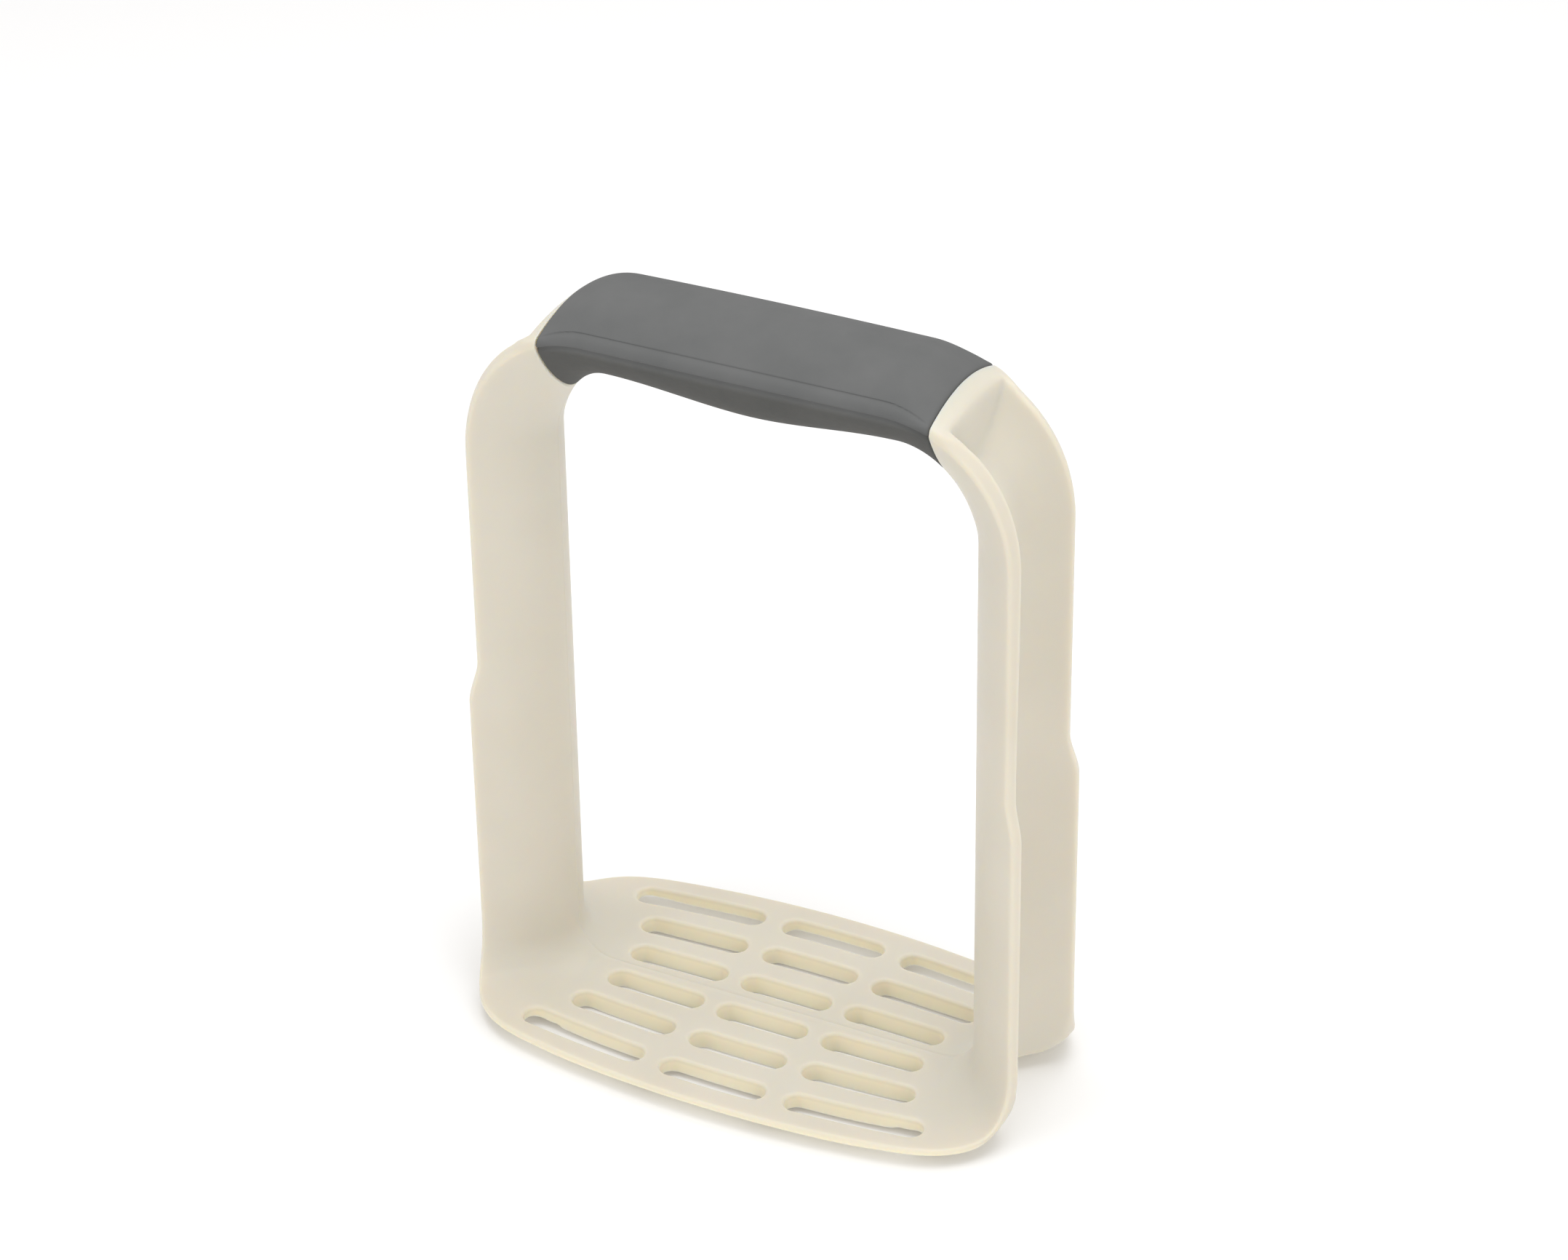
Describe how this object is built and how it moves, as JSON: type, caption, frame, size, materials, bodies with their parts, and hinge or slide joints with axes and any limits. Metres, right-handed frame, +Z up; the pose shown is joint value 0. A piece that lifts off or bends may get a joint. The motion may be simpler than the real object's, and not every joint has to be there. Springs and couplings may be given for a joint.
{
  "type": "hand masher",
  "caption": "Hand masher: a one-piece moulded frame with a slotted mashing plate, channel-shaped uprights and a soft grip across the top.",
  "frame": {"origin": "centre of the plate's underside, on the surface that the masher stands on", "axes": "+X along the handle, +Y across the handle, +Z up from the plate to the handle"},
  "size_m": [0.1348, 0.0776, 0.1807],
  "materials": {
    "moulded_plastic": "satin",
    "soft_touch_rubber": "matte"
  },
  "bodies": {
    "root": {"frame": "moulded_plastic", "soft_grip": "soft_touch_rubber"}
  },
  "joints": []
}
